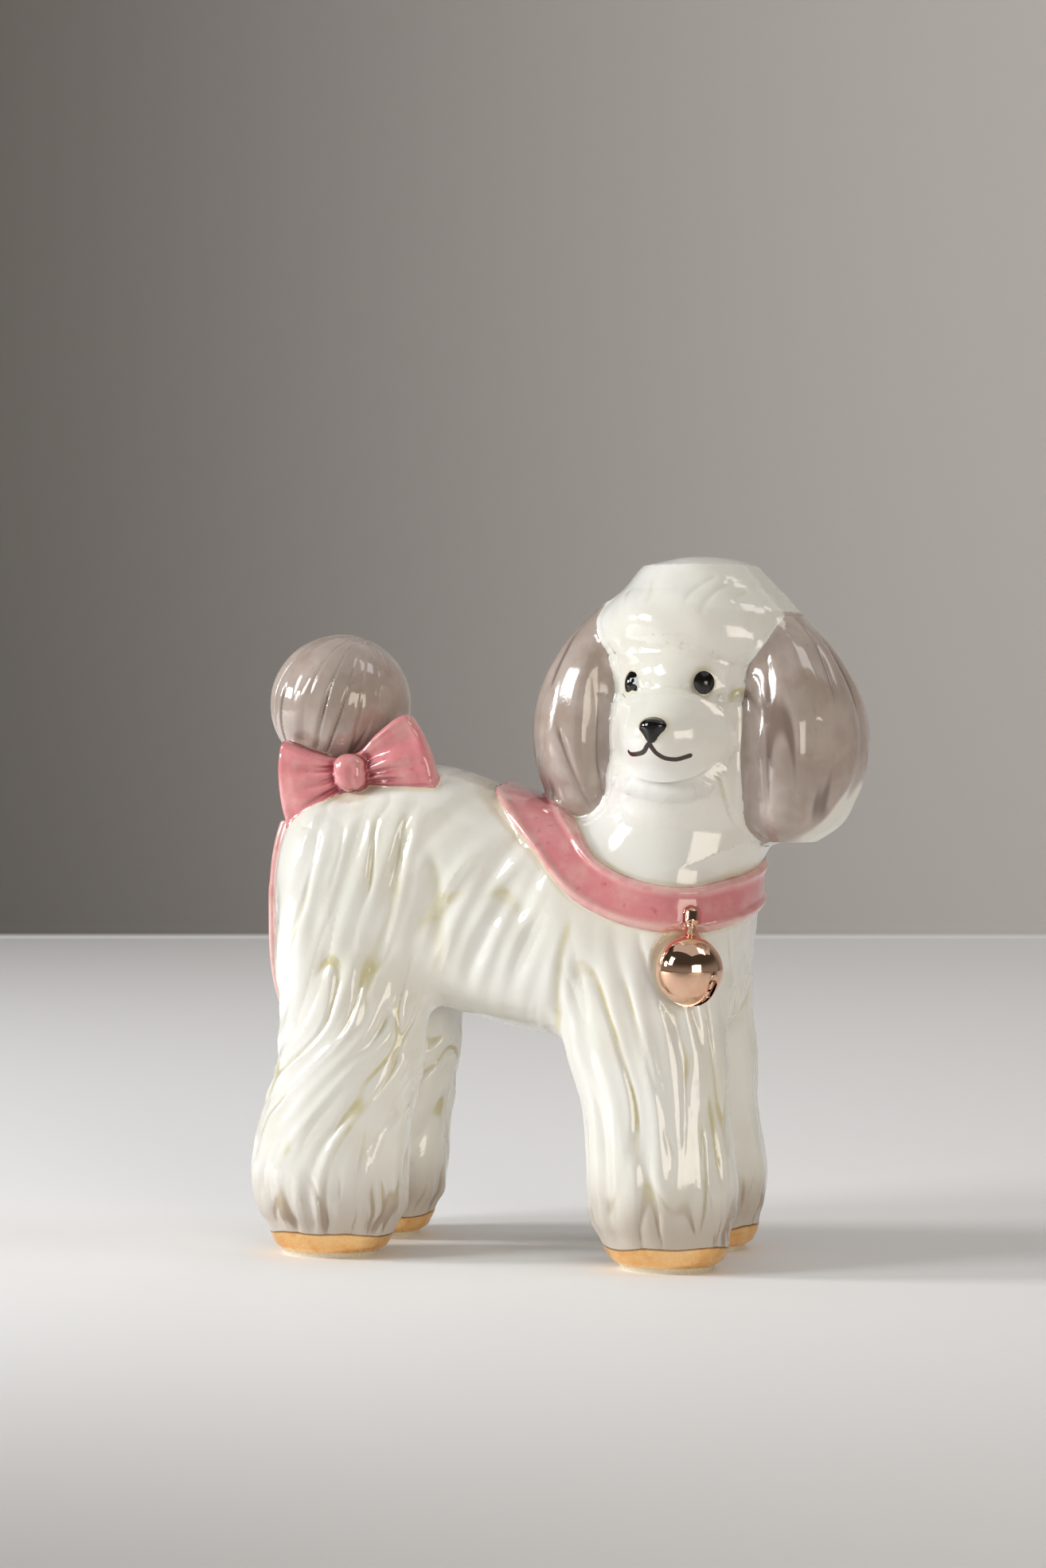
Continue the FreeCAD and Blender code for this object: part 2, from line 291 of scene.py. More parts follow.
def strands(place, seed, width, dash=24.0):
    """Locks of hair along the third direction of place: height from -1 to 0, and pooled glaze."""
    folds = ripple(place / np.array([width, width, 7.0 * width]), seed, 1.25)
    parting = ripple(place / np.array([width, width, 6.0 * width]), seed + 1, 1.7)
    patches = ripple(place / np.array([2.5 * width, 2.5 * width, dash]), seed + 2, 1.0)
    present = step(-0.5, 0.5, patches)
    groove = np.exp(-(parting / 0.34) ** 2) * (0.25 + 0.75 * present)
    height = 0.30 * np.clip(folds - 1.0, -2.0, 0.0) - 0.55 * groove
    return height, np.exp(-(parting / 0.15) ** 2) * present


def head_frame(points):
    """Forward and sideways distances from the head's axis, and height."""
    ahead = np.array([math.cos(HEAD_TURN), math.sin(HEAD_TURN)])
    left = np.array([-ahead[1], ahead[0]])
    flat = points[:, :2] - HEAD_AXIS
    return flat @ ahead, flat @ left, points[:, 2]


def head_point(forward, sideways, z):
    ahead = np.array([math.cos(HEAD_TURN), math.sin(HEAD_TURN)])
    left = np.array([-ahead[1], ahead[0]])
    flat = HEAD_AXIS + ahead * forward + left * sideways
    return np.array([flat[0], flat[1], z])


# ---------------------------------------------------------------- shapes of the pieces

def barrel_shape(p):
    low, high = BARREL[0, 0], BARREL[-1, 0]
    low_z, high_z, half_width = along(BARREL, p[:, 0]).T
    past = np.where(p[:, 0] < low, (low - p[:, 0]) / (low - RUMP_END_X), 0.0)
    past = np.where(p[:, 0] > high, (p[:, 0] - high) / (CHEST_END_X - high), past)
    reach = np.where(p[:, 0] < 0, low - RUMP_END_X, CHEST_END_X - high)
    return rounded((past * reach, p[:, 1], p[:, 2] - (low_z + high_z) / 2),
                   (reach, half_width, (high_z - low_z) / 2), BARREL_SQUARENESS)


def torso_shape(p):
    neck = stack(p[:, 0], p[:, 1], p[:, 2], NECK)
    return smooth_min(barrel_shape(p), neck, 6.0)


def leg_stack(p, table, side):
    return stack(p[:, 0], side * p[:, 1], p[:, 2], table)


def leg_shape(table, side):
    return lambda p: leg_stack(p, table, side)


def paw_line(p):
    """Height of the gold's brushed upper edge."""
    foot_x = np.where(p[:, 0] > 0, 34.0, -52.0)
    angle = np.arctan2(np.abs(p[:, 1]) - 17.0, p[:, 0] - foot_x)
    turn = np.sign(p[:, 1]) + np.sign(p[:, 0]) * 0.6
    return PAW_TOP + 0.45 * np.sin(2 * angle + turn) + 0.25 * np.sin(5 * angle + 2 * turn)


def skull_shape(p):
    forward, sideways, z = head_frame(p)
    return stack(forward, sideways, z, SKULL)


def topknot_shape(p):
    forward, sideways, z = head_frame(p)
    ball = rounded((forward - TOPKNOT_CENTRE[0], sideways, z - TOPKNOT_CENTRE[2]), TOPKNOT_RADII)
    lumps = 0.10 * ripple(p, 53, 19.0) + 0.04 * ripple(p, 54, 11.0)
    rim = 153.2 - 0.010 * sideways**2 - 0.09 * sideways + 0.4 * np.minimum(forward - 15.0, 0.0)
    return smooth_max(ball - lumps, rim - z, 14.0)


def muzzle_shape(p):
    forward, sideways, z = head_frame(p)
    return rounded((forward - MUZZLE_CENTRE[0], sideways, z - MUZZLE_CENTRE[2]), MUZZLE_RADII)


def ear_shape(side):
    lift = RIGHT_EAR_LIFT if side < 0 else 0.0

    def shape(p):
        forward, sideways, z = head_frame(p)
        return stack(forward, side * sideways, z - lift, EAR)
    return shape


def surface_forward(field, sideways, z):
    """How far forward of the head's axis the field's surface is."""
    reach = np.linspace(45.0, 5.0, 401)
    points = np.array([head_point(forward, sideways, z) for forward in reach])
    inside = np.nonzero(field(points) < 0)[0]
    return reach[inside[0]]


def face_shape(p):
    """The skin that the eyes and nose sit on."""
    parts = {"skull": skull_shape(p), "muzzle": muzzle_shape(p), "topknot": topknot_shape(p)}
    return blended(parts, list(parts), CORE_FILLET)


def eye_shape(side):
    forward = surface_forward(face_shape, side * EYE_SIDE, EYE_Z)
    place = head_point(forward, side * EYE_SIDE, EYE_Z)
    outward = slope_of(face_shape, place[None])[1][0]
    outward /= np.linalg.norm(outward)
    level = np.cross((0.0, 0.0, 1.0), outward)
    level /= np.linalg.norm(level)
    axes = np.array([outward, level, np.cross(outward, level)])
    centre = place - outward * EYE_SINK
    return lambda p: rounded(tuple(((p - centre) @ axes.T).T), EYE_RADII)


def nose_shape():
    forward_of_nose = surface_forward(face_shape, 0.0, NOSE_Z)

    def shape(p):
        forward, sideways, z = head_frame(p)
        ahead = forward - forward_of_nose
        top = rounded((ahead + 0.5, sideways, z - NOSE_Z - 0.5), (1.9, 3.3, 1.9))
        tip = rounded((ahead + 0.6, sideways, z - NOSE_Z + 1.5), (1.7, 1.6, 2.0))
        return smooth_min(top, tip, 1.6)
    return shape


def pompom_shape(p):
    return rounded(tuple((p - POMPOM_CENTRE).T), POMPOM_RADII)


def tail_shape(p):
    across = np.hypot(p[:, 0] + 53.0, p[:, 1]) - TAIL_RADIUS
    return np.maximum(across, np.abs(p[:, 2] - 121.0) - 9.0)


def bow_frame(p, tilt):
    """Along the loop, across it and towards the viewer, from the knot."""
    along_x, along_z = math.cos(tilt), math.sin(tilt)
    x, y, z = (p - BOW_KNOT).T
    return x * along_x + z * along_z, z * along_x - x * along_z, -y


# distance from the knot, centre across, half across, centre in depth, half depth
REAR_LOOP = np.array([
    (0.0, 0.0, 3.6, 0.0, 2.4),
    (4.0, -0.2, 4.6, 0.0, 3.3),
    (10.0, -0.6, 7.4, 0.3, 4.0),
    (16.0, -0.3, 10.6, 0.2, 3.7),
    (20.5, 0.3, 11.6, 0.0, 2.2),
])
FRONT_LOOP = np.array([
    (0.0, 0.0, 3.6, 0.0, 2.4),
    (4.0, 0.4, 4.6, 0.0, 3.3),
    (10.0, 0.9, 6.8, 0.3, 4.0),
    (16.0, 0.9, 8.9, 0.2, 3.7),
    (21.3, 0.2, 9.0, 0.0, 2.2),
])
REAR_LOOP_TILT = math.radians(190.0)
FRONT_LOOP_TILT = math.radians(16.0)


# Folds pressed into each loop: place across it from -1 to 1, half width, depth, and
# how far along the loop the fold starts to fade and is gone
REAR_FOLDS = (
    (0.42, 0.20, 1.5, 9.0, 19.0),
    (-0.12, 0.18, 1.2, 7.0, 17.0),
    (-0.62, 0.16, 0.9, 6.0, 14.0),
)
FRONT_FOLDS = (
    (0.30, 0.34, 1.7, 15.0, 24.0),
    (-0.42, 0.16, 1.1, 12.0, 22.0),
    (-0.80, 0.12, 0.6, 8.0, 18.0),
)


def loop_shape(table, tilt, flip, folds):
    def shape(p):
        reach, across, depth = bow_frame(p, tilt)
        across = across * flip
        centre, half = along(table, reach)[:, :2].T
        v = (across - centre) / half
        pressed = np.zeros(len(p))
        for place, width, deep, fade, gone in folds:
            lasting = step(gone, fade, reach) * step(1.5, 5.0, reach)
            pressed += deep * np.exp(-((v - place) / width) ** 2) * lasting
        rim = 0.45 * step(0.70, 0.92, np.abs(v)) * step(3.0, 9.0, reach)
        rim += 0.4 * step(table[-1, 0] - 4.5, table[-1, 0] - 1.5, reach)
        lean = reach - (table[-1, 0] - 0.7) + 0.10 * across + 0.012 * across**2
        pressed *= np.where(depth > 0, 1.0, 0.3)
        body = stack(across, depth, reach, table, 2.8) + pressed - rim
        return smooth_max(body, lean, 1.6)
    return shape


def knot_shape(p):
    x, y, z = (p - BOW_KNOT + np.array([0, 2.0, 0])).T
    pleat = 0.35 * np.exp(-((x - 1.2) / 0.9) ** 2) * step(3.0, 1.0, z)
    return rounded((x + 0.06 * z, y, z), (4.3, 4.6, 4.8), 2.6) + pleat


def under_ribbon(p):
    """The body that the ribbons lie on."""
    legs = np.minimum(leg_stack(p, REAR_LEG, 1), leg_stack(p, REAR_LEG, -1))
    return smooth_min(torso_shape(p), legs, 8.0)


def ribbon(width_offset, half_width, p, length_offset=None, half_length=1.0):
    """Flat ribbon with rolled edges lying on the body."""
    lips = 0.55 * np.exp(-((np.abs(width_offset) - half_width + 1.3) / 0.9) ** 2)
    depth = under_ribbon(p) - lips
    offsets = [width_offset, depth]
    halves = [half_width, RIBBON_THICKNESS - 0.15]
    if length_offset is not None:
        offsets.append(length_offset)
        halves.append(half_length)
    return slab(offsets, halves, 0.55)


def collar_across(p):
    """How far each point is above the collar's middle line."""
    offset = p - COLLAR_HUB
    flat = np.hypot(offset[:, 0], offset[:, 1])
    bearing = np.degrees(np.arctan2(offset[:, 1], offset[:, 0]))
    elevation = np.degrees(np.arctan2(offset[:, 2], flat))
    turn = np.array([360.0, 0.0])
    route = np.vstack([COLLAR_ROUTE[-3:] - turn, COLLAR_ROUTE, COLLAR_ROUTE[:3] + turn])
    height = along(route, bearing)[:, 0]
    slope = (along(route, bearing + 2.0)[:, 0] - along(route, bearing - 2.0)[:, 0]) / 4.0
    slant = np.sqrt(1 + (slope / np.cos(np.radians(height))) ** 2)
    return np.radians(elevation - height) * np.linalg.norm(offset, axis=1) / slant


def collar_shape(p):
    return ribbon(collar_across(p), COLLAR_WIDTH / 2, p)


def streamer_across(p):
    return p[:, 1] + 5.0 - 0.5 * np.sin(p[:, 2] / 8.0)


def streamer_shape(p):
    band = ribbon(streamer_across(p), STREAMER_WIDTH / 2, p, p[:, 2] - 82.0, 26.5)
    return np.maximum(band, p[:, 0] + 55.0)


def bell_shape(p):
    """Ball with a slot low on one side that ends in a small raised ring."""
    offset = p - BELL_CENTRE
    ball = rounded(tuple(offset.T), (BELL_RADIUS, BELL_RADIUS, BELL_RADIUS + 0.15))
    ring_way = np.array([0.80, -0.46])
    slot_side = np.abs(offset[:, :2] @ np.array([-ring_way[1], ring_way[0]]))
    toward_ring = offset[:, :2] @ ring_way
    below = offset[:, 2] + 0.35 * BELL_RADIUS + 0.25 * (toward_ring - BELL_RADIUS)
    deep = BELL_RADIUS - BELL_WALL - np.linalg.norm(offset, axis=1)
    slot = np.maximum.reduce([slab((slot_side,), (0.45,), 0.2), deep, below])
    ball = smooth_max(ball, -slot, 0.5)
    eye_of_slot = np.array([ring_way[0] * 0.93, ring_way[1] * 0.93, -0.36]) * BELL_RADIUS
    from_eye = offset - eye_of_slot
    outward = eye_of_slot / np.linalg.norm(eye_of_slot)
    rise = from_eye @ outward
    in_plane = from_eye - rise[:, None] * outward
    around = 1.15 * np.hypot(in_plane[:, 0], in_plane[:, 1]) + 0.25 * np.abs(in_plane[:, 2])
    ring = np.hypot(around - 1.9, rise) - 0.42
    return smooth_min(ball, ring, 0.5)


def bell_stem_shape(p):
    axis = BELL_STEM_TOP - BELL_CENTRE
    length = np.linalg.norm(axis)
    axis = axis / length
    offset = p - BELL_CENTRE
    t = np.clip(offset @ axis, 0.0, length - 1.0)
    radius = 1.75 + 1.5 * step(BELL_RADIUS + 3.0, BELL_RADIUS - 1.5, t)
    return np.linalg.norm(offset - t[:, None] * axis, axis=1) - radius


LEGS = {"front": FRONT_LEG, "rear": REAR_LEG}
SIDES = {"left": 1, "right": -1}

SHAPES = {
    "torso_casting": torso_shape,
    "head_casting": skull_shape,
    "topknot": topknot_shape,
    "muzzle": muzzle_shape,
    "tail_pompom": pompom_shape,
    "tail_stem": tail_shape,
    "bow_knot": knot_shape,
    "bow_rear_loop": loop_shape(REAR_LOOP, REAR_LOOP_TILT, -1.0, REAR_FOLDS),
    "bow_front_loop": loop_shape(FRONT_LOOP, FRONT_LOOP_TILT, 1.0, FRONT_FOLDS),
    "collar_ribbon": collar_shape,
    "rump_streamer": streamer_shape,
    "jingle_bell": bell_shape,
    "bell_stem": bell_stem_shape,
    "nose_tip": nose_shape(),
}
for side_name, side in SIDES.items():
    SHAPES[side_name + "_ear"] = ear_shape(side)
    SHAPES[side_name + "_eye"] = eye_shape(side)
    for end_name, leg_table in LEGS.items():
        SHAPES[end_name + "_" + side_name + "_leg"] = leg_shape(leg_table, side)

ORDER = {name: place for place, name in enumerate(SHAPES)}
TRIM_WORDS = ("_eye", "nose_tip", "bell", "bow_", "collar", "streamer")
CORE, LEG, TAIL, EARS, TRIMS = range(5)


def group_of(name):
    """Which group a piece joins the figure with."""
    if any(word in name for word in TRIM_WORDS):
        return TRIMS
    if name.endswith("_ear"):
        return EARS
    if name.startswith("tail_"):
        return TAIL
    return LEG if name.endswith("_leg") else CORE


GROUP = {name: group_of(name) for name in SHAPES}
# For each group: fillet between its own pieces, fillet to the groups before it, and how far
# its pieces lap over what came before
INNER_FILLETS = (CORE_FILLET, 1.0, 3.0, 3.0, 0.4)
OUTER_FILLETS = (0.0, 4.5, 3.0, 3.0, 0.8)
LAPS = (0.8, 0.8, 0.6, 0.6, 0.25)
LAP_LIFT = 0.08                # how far the later piece stands out over the lap
TUCK_SLOPE = 0.8               # how steeply a piece dives under its neighbour past a seam
TUCK_REACH = 3.0


# ---------------------------------------------------------------- carved hair

# How far back the hair sweeps by each height: z, offset
REAR_SWEEP = np.array([
    (8.0, -20.5), (25.0, -19.5), (40.0, -13.0), (60.0, 0.0), (85.0, 7.5), (118.0, 15.0),
])
FRONT_SWEEP = np.array([(8.0, 0.0), (40.0, 1.0), (80.0, -5.0)])


def leg_place(p):
    """Place round a leg, thigh or shoulder, drawn in where the leg narrows, and height."""
    front = p[:, 0] > -8.0
    u = np.empty(len(p))
    w = np.empty(len(p))
    for part, table, sweep in ((front, FRONT_LEG, FRONT_SWEEP), (~front, REAR_LEG, REAR_SWEEP)):
        q = p[part]
        centre_x, spread_x, centre_y, spread_y = along(table, np.clip(q[:, 2], 2.0, 60.0)).T
        u[part] = (q[:, 0] - centre_x) / spread_x * 18.0 - along(sweep, q[:, 2])[:, 0]
        w[part] = (np.abs(q[:, 1]) - centre_y) / spread_y * 14.0
    return np.stack([u, w, p[:, 2]], axis=1)


def flank_place(p):
    """Place across the locks that sweep from the withers down and back over the ribs."""
    rise = p[:, 2] - 60.0
    across = p[:, 0] - 0.25 * rise - 0.0045 * rise**2
    return np.stack([across, np.zeros(len(p)), p[:, 2]], axis=1)


def crease(p, x, low_z, high_z, width):
    """A single long fold running down the side at x."""
    strength = step(low_z, low_z + 8.0, p[:, 2]) * step(high_z, high_z - 8.0, p[:, 2])
    return strength * np.exp(-((p[:, 0] - x) / width) ** 2) * step(8.0, 16.0, np.abs(p[:, 1]))


def body_hair(p):
    """Height and glaze pooling of the hair on the torso and legs."""
    x, z = p[:, 0], p[:, 2]
    flank = step(-33.0, -22.0, x) * step(14.0, 5.0, x) * step(50.0, 60.0, z)
    height = np.zeros(len(p))
    pooled = np.zeros(len(p))
    cuff = step(25.0, 12.0, z)
    zones = (
        (1.0 - flank, leg_place, 11, 5.6, 1.0, 1.0),
        (flank, flank_place, 31, 5.0, 1.5, 0.5),
        (cuff, leg_place, 21, 3.2, 0.8, 1.0),
    )
    for share, place, seed, width, depth, colour in zones:
        here = share > 0
        here_height, here_pooled = strands(place(p[here]), seed, width)
        height[here] += share[here] * depth * here_height
        pooled[here] += share[here] * colour * here_pooled
    wander = 1.2 * ripple(p, 71, 40.0)
    folds = crease(p, -31.0 + wander + 0.27 * (z - 100.0), 58.0, 112.0, 1.5)
    folds = folds + 0.7 * crease(p, -22.5 + wander, 66.0, 106.0, 2.2)
    folds = folds + crease(p, 8.2 + 0.6 * wander + 0.20 * (z - 65.0), 48.0, 90.0, 1.5)
    chest = step(-2.0, 10.0, x)
    depth = (1.0 - chest * step(66.0, 92.0, z)) * (1.0 - 0.8 * step(106.0, 118.0, z))
    depth = depth * (1.0 - 0.85 * flank * step(80.0, 64.0, z))
    depth = depth * (1.0 - 0.5 * step(-52.0, -60.0, x) * step(58.0, 72.0, z)) * step(5.0, 9.5, z)
    strength = depth * (1.25 + 0.4 * ripple(p, 91, 26.0))
    return strength * height - 0.7 * folds * depth, np.clip(strength * pooled + 0.6 * folds, 0.0, 1.0)


# Comma strokes drawn on the top of the head: forward, sideways and z of the start, the
# furthest point of the bend and the end
COMMAS = np.array([
    [(19.7, 4.6, 163.5), (18.5, 4.2, 166.0), (13.4, 9.0, 169.0)],
    [(20.2, 8.9, 161.0), (18.2, 9.0, 165.0), (12.4, 12.8, 168.0)],
    [(16.0, 15.5, 161.0), (15.5, 14.5, 163.5), (11.0, 17.0, 166.5)],
    [(15.2, 19.0, 157.5), (14.0, 19.5, 160.5), (8.2, 20.4, 163.5)],
    [(12.6, 22.0, 153.5), (12.5, 22.5, 157.0), (7.0, 23.5, 160.0)],
    [(18.6, -12.0, 160.0), (17.0, -12.6, 163.0), (13.6, -13.8, 166.0)],
    [(19.5, -5.4, 163.5), (17.5, -6.0, 166.5), (13.5, -7.1, 169.0)],
])


def comma_depth(turned):
    """Depth of the comma strokes, 1 in the middle of a stroke."""
    extra = np.random.RandomState(17)
    strokes = list(COMMAS)
    for _ in range(16):
        bearing = extra.uniform(1.9, 5.2)
        rise = extra.uniform(0.15, 1.25)
        level = math.cos(rise)
        start = np.array([math.cos(bearing) * level, math.sin(bearing) * level, math.sin(rise)])
        bend = start + extra.uniform(-0.12, 0.12, 3) + np.array([0, 0, 0.14])
        end = start + extra.uniform(-0.25, 0.25, 3) + np.array([0, 0, 0.30])
        ball = np.array([way / np.linalg.norm(way) for way in (start, bend, end)])
        strokes.append(ball * TOPKNOT_RADII + TOPKNOT_CENTRE)
    t = np.linspace(0, 1, 7)[:, None]
    depth = np.zeros(len(turned))
    for start, bend, end in strokes:
        curve = (1 - t)**2 * start + 2 * t * (1 - t) * bend + t**2 * end
        depth = np.maximum(depth, np.exp(-(line_distance(turned, curve) / 0.95) ** 2))
    return depth


def topknot_hair(p):
    """Soft curls with a few drawn commas over the top of the head."""
    turned = np.stack(head_frame(p), axis=1)
    curls = ripple(turned, 51, 9.0)
    commas = comma_depth(turned) * step(149.0, 155.0, p[:, 2])
    return 0.16 * (curls - 1.0) - 0.20 * commas, 0.5 * commas


def ear_place(p, side):
    """Place on an ear: forward and outward from its middle as shares of its size, and level."""
    forward, sideways, z = head_frame(p)
    level = z - (RIGHT_EAR_LIFT if side < 0 else 0.0)
    columns = along(EAR, np.clip(level, 106.0, 157.0))
    u = (forward - columns[:, 0]) / columns[:, 1]
    w = (side * sideways - columns[:, 2]) / columns[:, 3]
    return u, w, level


def ear_hair(p, side):
    """Flat petals of hair that gather at the tip of the ear."""
    u, w, level = ear_place(p, side)
    calm = step(106.0, 116.0, level) * step(159.0, 148.0, level)
    height, pooled = strands(np.stack([20.0 * u, 14.0 * w, level], axis=1), 61 + 7 * side, 6.0, 34.0)
    return 1.25 * calm * height, calm * pooled


def pompom_hair(p):
    """Locks that rise from the bow and part over the top of the ball."""
    x, y, z = (p - POMPOM_CENTRE).T
    tilt = 0.35
    up = z * math.cos(tilt) + x * math.sin(tilt)
    ahead = x * math.cos(tilt) - z * math.sin(tilt)
    spread = POMPOM_RADII[0] / np.sqrt(np.clip(POMPOM_RADII[0]**2 - up**2, 30.0, None))
    height, pooled = strands(np.stack([ahead * spread, y * spread, up], axis=1), 81, 5.0, 20.0)
    calm = 1.0 - 0.85 * step(0.0, 13.0, up + 0.5 * x)
    return 1.2 * calm * height, calm * pooled


def hair(p, distances):
    """Height of the carving and pooling of the glaze anywhere on the figure."""
    height = np.zeros(len(p))
    pooled = np.zeros(len(p))
    nearest = np.minimum.reduce(list(distances.values()))
    groups = (
        (["torso_casting"] + [name for name in SHAPES if name.endswith("_leg")], 3.0, body_hair),
        (["topknot"], 3.5, topknot_hair),
        (["left_ear"], 2.0, lambda q: ear_hair(q, 1)),
        (["right_ear"], 2.0, lambda q: ear_hair(q, -1)),
        (["tail_pompom"], 2.0, pompom_hair),
    )
    for names, reach, carve in groups:
        near = [distances[name] for name in names if name in distances]
        if not near:
            continue
        share = step(reach, 0.0, np.minimum.reduce(near) - nearest)
        touched = share > 0
        if not touched.any():
            continue
        part_height, part_pooled = carve(p[touched])
        height[touched] += share[touched] * part_height
        pooled[touched] += share[touched] * part_pooled
    trims = [distance for name, distance in distances.items() if GROUP[name] == TRIMS]
    if trims:
        height *= step(0.0, 1.6, np.minimum.reduce(trims))
    if "jingle_bell" in distances:
        niche = step(3.4, 2.2, distances["jingle_bell"])
        height = height * (1 - niche) - 0.8 * niche
        pooled = np.maximum(pooled, 0.55 * niche)
    return height, pooled


# ---------------------------------------------------------------- from field to mesh

def near_shapes(node):
    """Names of the shapes whose CAD boxes come near this node's."""
    low, high = cad_box(node)
    near = []
    for name in SHAPES:
        other_low, other_high = cad_box(name)
        if (other_low < high + FAR).all() and (other_high > low - FAR).all():
            near.append(name)
    return near


def shape_reach(name):
    """Corners of the box outside which a shape is too far off to matter."""
    low, high = cad_box(name)
    return low - ORIGIN - FAR, high - ORIGIN + FAR


REACH = {name: shape_reach(name) for name in SHAPES}


def measure(p, names):
    """Distance from each point to each named shape, or a large one where it is far off."""
    distances = {}
    for name in names:
        low, high = REACH[name]
        near = ((p > low) & (p < high)).all(axis=1)
        distance = np.full(len(p), 2.0 * FAR)
        distance[near] = SHAPES[name](p[near])
        distances[name] = distance
    return distances


def group_layers(distances):
    """Blended distance of each group, far off where it has no piece near."""
    count = len(next(iter(distances.values())))
    layers = []
    for group, radius in enumerate(INNER_FILLETS):
        names = [name for name in distances if GROUP[name] == group]
        layers.append(blended(distances, names, radius) if names else np.full(count, 2.0 * FAR))
    return layers


def merged(layers):
    result = layers[0]
    for layer, radius in zip(layers[1:], OUTER_FILLETS[1:]):
        result = smooth_min(result, layer, radius)
    return result


def outer_skin(distances):
    """The visible surface."""
    return merged(group_layers(distances))


def joined(distances, name):
    """The visible surface where it belongs to one piece, turned inwards past its seams.

    The later piece of a pair laps a little over the earlier one, so no gap opens between them.
    """
    layers = group_layers(distances)
    result = merged(layers)
    group = GROUP[name]
    gaps = [(layers[group] - layer, group > index)
            for index, layer in enumerate(layers) if index != group]
    for other, distance in distances.items():
        if other != name and GROUP[other] == group:
            gaps.append((distances[name] - distance, ORDER[name] > ORDER[other]))
    past = np.zeros(len(result))
    for gap, is_later in gaps:
        lap = LAPS[group] if is_later else 0.0
        past = np.maximum(past, gap - lap)
        if is_later:
            result = result - LAP_LIFT * step(3.0 * lap, lap, np.abs(gap))
    return result + TUCK_SLOPE * np.clip(past, 0.0, TUCK_REACH)


def rough_quads(nodes, shape, spacing):
    """First mesh of a piece, from a voxel grid that covers the CAD boxes of its nodes."""
    lows, highs = zip(*(cad_box(node) for node in nodes))
    low = np.min(lows, axis=0) - ORIGIN - 3.0
    high = np.max(highs, axis=0) - ORIGIN + 3.0
    counts = np.ceil((high - low) / spacing).astype(int) + 1
    axes = [low[axis] + spacing * np.arange(counts[axis]) for axis in range(3)]
    grid_points = np.stack(np.meshgrid(*axes, indexing="ij"), axis=-1).reshape(-1, 3)
    values = shape(grid_points).reshape(counts)
    for axis in range(3):
        np.moveaxis(values, axis, 0)[[0, -1]] = spacing
    grid = openvdb.FloatGrid(background=3 * spacing)
    grid.copyFromArray(np.clip(values, -3 * spacing, 3 * spacing).astype(np.float32))
    points, quads = grid.convertToQuads(0.0)
    return low + np.asarray(points, float) * spacing, np.asarray(quads, np.int64)


def split_quads(points, quads):
    """Each quad becomes four."""
    edges = np.sort(np.stack([quads, np.roll(quads, -1, axis=1)], axis=2).reshape(-1, 2), axis=1)
    keys, inverse = np.unique(edges[:, 0] * len(points) + edges[:, 1], return_inverse=True)
    middles = (points[keys // len(points)] + points[keys % len(points)]) / 2
    middle_ids = len(points) + inverse.reshape(-1, 4)
    centre_ids = len(points) + len(keys) + np.arange(len(quads))
    corners = []
    for corner in range(4):
        corners.append(np.stack([quads[:, corner], middle_ids[:, corner], centre_ids,
                                 middle_ids[:, corner - 1]], axis=1))
    return np.vstack([points, middles, points[quads].mean(axis=1)]), np.vstack(corners)


def settle(field, points, limit, rounds):
    """Move points onto the field's zero surface."""
    for _ in range(rounds):
        value, gradient = slope_of(field, points)
        size = np.maximum((gradient ** 2).sum(axis=1), 0.2)
        points = points - np.clip(value / size, -limit, limit)[:, None] * gradient
    return points


def smooth_body(nodes, shape_name, spacing, splits):
    """Points and quads of a piece before its hair is carved."""
    names = near_shapes(nodes[0])
    field = lambda p: joined(measure(p, names), shape_name)
    points, quads = rough_quads(nodes, SHAPES[shape_name], spacing)
    points = settle(field, points, spacing, 2)
    for _ in range(splits):
        points, quads = split_quads(points, quads)
        points = settle(field, points, spacing, 1)
    return settle(field, points, spacing, 1), quads


HAIR_REACH = 0.12              # step over which the slope of the hair is taken
HOLLOW_REACH = 2.5             # how far above the skin the space is probed for hollows


def carve(points, names):
    """Carved points, their normals and the colour masks at them."""
    _, gradient = slope_of(lambda p: outer_skin(measure(p, names)), points)
    skyward = gradient / np.maximum(np.linalg.norm(gradient, axis=1), 1e-9)[:, None]
    distances = measure(points, names)
    height, pooled = hair(points, distances)
    tilt = np.zeros_like(points)
    for axis in range(3):
        moved = points.copy()
        moved[:, axis] += HAIR_REACH
        tilt[:, axis] = (hair(moved, measure(moved, names))[0] - height) / HAIR_REACH
    tilt -= (tilt * skyward).sum(axis=1)[:, None] * skyward
    normals = skyward - tilt
    normals /= np.maximum(np.linalg.norm(normals, axis=1), 1e-9)[:, None]
    # How enclosed the skin is: the glazes darken it there, partly as glaze pooling and partly as
    # painted shade.
    above = measure(points + skyward * HOLLOW_REACH, names)
    open_space = np.minimum.reduce(list(above.values())) / HOLLOW_REACH
    hollow_pool_and_shade = np.clip(1.0 - open_space, 0.0, 1.0)
    return points + height[:, None] * skyward, normals, {"pool": pooled, "hollow_pool_and_shade": hollow_pool_and_shade}


